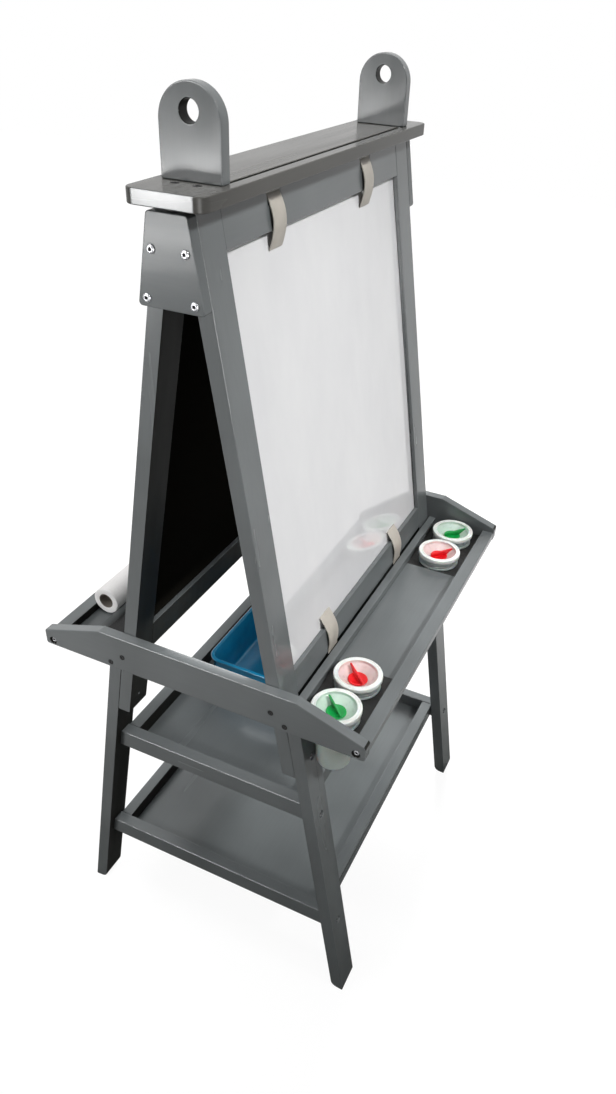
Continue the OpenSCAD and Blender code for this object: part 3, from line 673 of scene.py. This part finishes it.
def build_stopper(node, material, turn):
    """A round plug with a soft-edged disc, and the fin that it is pulled out by."""
    x, y, _, high = node_axis(node.replace("stopper", "lid"))
    disc = [(0, -3.85), (10.6, -3.85), (11.3, -3.3), (11.5, -2.6), (11.5, 0.15)]
    disc += [(13, 0.15)] + arc((12.7, 0.95), 0.8, -90, 0, 4) + arc((12.5, 1.55), 1.0, 0, 90, 5)
    disc += [(9.6, 2.55), (9.2, 2.15), (0, 2.15)]
    sides = ((0.35, -1.2), (0, -0.85), (0, 0.85), (0.35, 1.2))
    plate = skin([fin_loop(shrink, across) for shrink, across in sides], closed=False)
    place = Matrix.Translation((x, y, high - SEAT * MM))
    spin = place @ Matrix.Rotation(math.radians(turn), 4, "Z")
    mesh = join([(lathe(disc, 96), place), (plate, spin)], node)
    finish_node(node, mesh, material)


def build_cups():
    """Four cups with their lids and stoppers. The fins are turned the other way at the far end."""
    for end, turn in (("near", 50), ("far", -50)):
        for colour in ("red", "green"):
            cup = f"{end}_{colour}_"
            build_cup(cup + "cup")
            build_lid(cup + "lid", colour + "_funnel")
            build_stopper(cup + "stopper", colour + "_plastic", turn)


# ---- Paper roll ----

def build_roll():
    """A wound roll with the sheet's end lying along it, on a board core."""
    low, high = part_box("paper_roll")
    middle = (low + high) / 2
    outer = (high.y - low.y) / 2 / MM
    length = (high.x - low.x) / MM
    core_low, core_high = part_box("roll_core")
    bore = (core_high.y - core_low.y) / 2 / MM
    steps, sheet_end = 160, math.radians(-35)

    def ring(radius, along, step=0.3):
        """One turn of the winding, whose radius grows by step up to the sheet's end."""
        loop = []
        for i in range(steps):
            part = i / (steps - 1)
            turn = sheet_end + 2 * math.pi * i / steps
            reach = radius - step * (1 - part)
            loop.append(Vector((along, reach * math.cos(turn), reach * math.sin(turn))) * MM)
        return loop

    half = length / 2
    loops = [ring(bore + 0.1, -half + 0.3, 0), ring(bore + 0.8, -half, 0),
             ring(outer - 0.7, -half), ring(outer - 0.15, -half + 0.25),
             ring(outer, -half + 0.7), ring(outer, half - 0.7), ring(outer - 0.15, half - 0.25),
             ring(outer - 0.7, half), ring(bore + 0.8, half, 0), ring(bore + 0.1, half - 0.3, 0)]
    mesh = to_mesh(skin(loops), "paper_roll", Matrix.Translation(middle))
    finish_node("paper_roll", mesh, "paper")
    inner = bore - 1.5
    loops = [ring(inner, -half + 0.5, 0), ring(inner + 0.5, -half, 0),
             ring(bore - 0.2, -half, 0), ring(bore, -half + 0.3, 0),
             ring(bore, half - 0.3, 0), ring(bore - 0.2, half, 0),
             ring(inner + 0.5, half, 0), ring(inner, half - 0.5, 0)]
    mesh = to_mesh(skin(loops), "roll_core", Matrix.Translation(middle))
    finish_node("roll_core", mesh, "cardboard")


# ---- Storage bin ----

def build_bin():
    """A smooth tub with a rolled rim, a foot ring and rounded inside corners."""
    low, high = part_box("storage_bin")
    length, depth, height = ((high - low) / MM)
    rim, wall, corner = 4, 2, 22
    quarter = (0.4, 0.8, 1.2, 1.57)

    def loop(inset, z):
        return rounded_loop(length - 2 * inset, depth - 2 * inset, corner - inset, z)

    loops = [loop(rim + 7, 0.8), loop(rim + 6, 0), loop(rim + 3.5, 0)]
    loops += [loop(rim + 3 - 3 * math.sin(a), 3 - 3 * math.cos(a)) for a in quarter]
    loops += [loop(rim, 20), loop(rim, height - 4.2), loop(rim - 0.4, height - 3.4), loop(0.6, height - 3)]
    loops += [loop(0.1, height - 2.6), loop(0, height - 1.6), loop(0.25, height - 0.6), loop(0.9, height)]
    loops += [loop(rim + 0.4, height), loop(rim + 1.4, height - 0.4)]
    loops += [loop(rim + wall, height - 1.4), loop(rim + wall, 20)]
    loops += [loop(rim + wall + 4 - 4 * math.sin(a), 6 - 4 * math.cos(a)) for a in reversed(quarter)]
    loops += [loop(rim + wall + 5, 2)]
    mesh = to_mesh(skin(loops, closed=False), "storage_bin",
                   Matrix.Translation(((low.x + high.x) / 2, (low.y + high.y) / 2, low.z)))
    finish_node("storage_bin", mesh, "blue_plastic")


# ---- Fasteners ----

RECESS_POINTS = 4
BOLT = ([(0, -29.9), (1.9, -29.9), (2.5, -29.2), (2.5, 0), (4.6, 0), (4.8, 0.25)]
        + arc((1.5, -1.75), 4.2, 37, 68, 8)[1:] + [(2.3, 2.3), (1.95, 2.1), (1.75, 1.7), (1.75, 0.6), (0, 0.5)])
SCREW = [(0, -38), (0.6, -37.6), (2.1, -33), (2.1, -1.95), (3.9, -0.2), (4, 0), (3.6, 0.05), (2.9, 0.05),
         (2.6, 0), (2.1, -0.7), (1.2, -1.3), (0, -1.35)]


def build_fasteners():
    """The bolts and screws. The last points of a profile form the recess in the head."""
    for node, profile, recess, material in (("button_bolts", BOLT, hexagon, "bolt_chrome"),
                                            ("countersunk_screws", SCREW, cross, "screw_black")):
        parts = [(lathe(profile, 48, recess, len(profile) - RECESS_POINTS), head_place(points, i))
                 for i, points in enumerate(loose_parts(node))]
        mesh = join(parts, node)
        mesh.materials.append(MATERIALS[material])
        # Painted shade: the recess faces wear the screws' near black, so the bolts' hex sockets look shaded.
        mesh.materials.append(MATERIALS["screw_black"])
        finish_node(node, mesh, material)


# ---- Stage ----

def sees_background(nodes, links, mirrored=None):
    """1 for the rays that look at the background and 0 for lighting rays. The socket mirrored is the level
    for those that see it in a gloss."""
    path = nodes.new("ShaderNodeLightPath")
    gloss = nodes.new("ShaderNodeMath")
    gloss.operation = "MULTIPLY"
    gloss.inputs[1].default_value = 1.0
    if mirrored:
        links.new(mirrored, gloss.inputs[1])
    links.new(path.outputs["Is Glossy Ray"], gloss.inputs[0])
    seen = path.outputs["Is Camera Ray"]
    for other in (gloss.outputs["Value"], path.outputs["Is Transmission Ray"]):
        either = nodes.new("ShaderNodeMath")
        either.operation = "MAXIMUM"
        links.new(seen, either.inputs[0])
        links.new(other, either.inputs[1])
        seen = either.outputs["Value"]
    return seen


def set_world():
    """Soft light, brighter from the near end and the chalkboard side, and a white background."""
    world = bpy.data.worlds.new("world")
    world.use_nodes = True
    bpy.context.scene.world = world
    nodes, links = world.node_tree.nodes, world.node_tree.links
    light = nodes["Background"]
    light.inputs["Color"].default_value = (1, 1, 1, 1)
    coords = nodes.new("ShaderNodeTexCoord")
    facing = nodes.new("ShaderNodeVectorMath")
    facing.operation = "DOT_PRODUCT"
    facing.inputs[1].default_value = (-0.8, 0.45, 0.4)
    links.new(coords.outputs["Generated"], facing.inputs[0])
    level = nodes.new("ShaderNodeMapRange")
    for key, value in (("From Min", -0.3), ("From Max", 1.0), ("To Min", 0.07), ("To Max", 0.45)):
        level.inputs[key].default_value = value
    links.new(facing.outputs["Value"], level.inputs["Value"])
    links.new(level.outputs["Result"], light.inputs["Strength"])
    white = nodes.new("ShaderNodeBackground")
    white.inputs["Color"].default_value = (1, 1, 1, 1)
    white.inputs["Strength"].default_value = 1.0
    mix = nodes.new("ShaderNodeMixShader")
    links.new(sees_background(nodes, links), mix.inputs["Fac"])
    links.new(light.outputs["Background"], mix.inputs[1])
    links.new(white.outputs["Background"], mix.inputs[2])
    links.new(mix.outputs["Shader"], nodes["World Output"].inputs["Surface"])


def add_lamp(name, kind, place, target, power, diffuse=True, glossy=True, **values):
    """A lamp. One that isn't diffuse is seen only in gloss, and draws the bright lines on rounded edges."""
    data = bpy.data.lights.new(name, kind)
    data.energy = power
    for key, value in values.items():
        setattr(data, key, value)
    lamp = bpy.data.objects.new(name, data)
    lamp.location = place
    lamp.visible_diffuse = diffuse
    lamp.visible_glossy = glossy
    lamp.rotation_mode = "QUATERNION"
    lamp.rotation_quaternion = (Vector(target) - Vector(place)).to_track_quat("-Z", "Y")
    bpy.context.scene.collection.objects.link(lamp)


def add_floor():
    """A floor that shows white wherever nothing shades it, and throws hardly any light back up. Gloss
    sees it dimmer near the object than far from it, as painted shade of the easel on the floor."""
    bm = bmesh.new()
    bmesh.ops.create_grid(bm, x_segments=1, y_segments=1, size=6.0)
    floor = bpy.data.objects.new("floor", to_mesh(bm, "floor"))
    bpy.context.scene.collection.objects.link(floor)
    shader = Shader("floor")
    nodes, links = shader.nodes, shader.links
    shader.set(Base_Color=(0.1, 0.1, 0.1, 1), Roughness=1.0, Specular_IOR_Level=0.0)
    glow = nodes.new("ShaderNodeEmission")
    glow.inputs["Color"].default_value = (1, 1, 1, 1)
    reach = nodes.new("ShaderNodeVectorMath")
    reach.operation = "LENGTH"
    links.new(shader.place(), reach.inputs[0])
    links.new(shader.span(reach.outputs["Value"], 0.93, 1.0, 0.7, 1.6), glow.inputs["Strength"])
    shown = nodes.new("ShaderNodeAddShader")
    links.new(shader.surface.outputs["BSDF"], shown.inputs[0])
    links.new(glow.outputs["Emission"], shown.inputs[1])
    bounce = nodes.new("ShaderNodeBsdfDiffuse")
    bounce.inputs["Color"].default_value = (0.12, 0.125, 0.12, 1)
    mix = nodes.new("ShaderNodeMixShader")
    # Painted shade: gloss sees the floor dimmer near the middle, standing for the easel's shade on it.
    mirrored = shader.span(reach.outputs["Value"], 0.05, 0.9, 0.4, 1.0)
    links.new(sees_background(nodes, links, mirrored), mix.inputs["Fac"])
    links.new(bounce.outputs["BSDF"], mix.inputs[1])
    links.new(shown.outputs["Shader"], mix.inputs[2])
    links.new(mix.outputs["Shader"], nodes["Material Output"].inputs["Surface"])
    floor.data.materials.append(shader.material)


def set_stage():
    """Soft studio light from above, the sides and the front, with glints on the rounded edges."""
    set_world()
    add_floor()
    add_lamp("top_lamp", "AREA", (-0.3, 0.1, 8.0), (0, 0, 0.6), 172, size=3.1)
    add_lamp("shelf_lamp", "AREA", (1.6, 0.3, 0.9), (0, 0, 0.4), 66, glossy=False, size=0.5)
    add_lamp("side_lamp", "AREA", (-1.1, 0.53, 0.93), (-0.2, 0, 1.0), 4.4, shape="RECTANGLE", size=0.4, size_y=0.18)
    add_lamp("inner_lamp", "AREA", (-0.2, 0, 0.62), (-0.2, 0, 0), 0.38, size=0.12)
    add_lamp("rail_glint", "AREA", (-1.6, 0.86, 1.84), (-0.3, 0, 0.55), 50, diffuse=False, size=1.0)
    add_lamp("edge_glint", "AREA", (-1.25, -0.77, 0.86), (-0.29, -0.07, 0.95), 10, diffuse=False, size=0.5)
    add_lamp("front_lamp", "SPOT", (-0.3, -2.6, 3.4), (-0.05, -0.05, 0.82), 470,
             spot_size=math.radians(21), spot_blend=0.7, shadow_soft_size=0.35)


set_camera()
set_stage()
build_boards()
build_cups()
build_roll()
build_bin()
build_fasteners()

bpy.context.scene.view_settings.view_transform = "Standard"
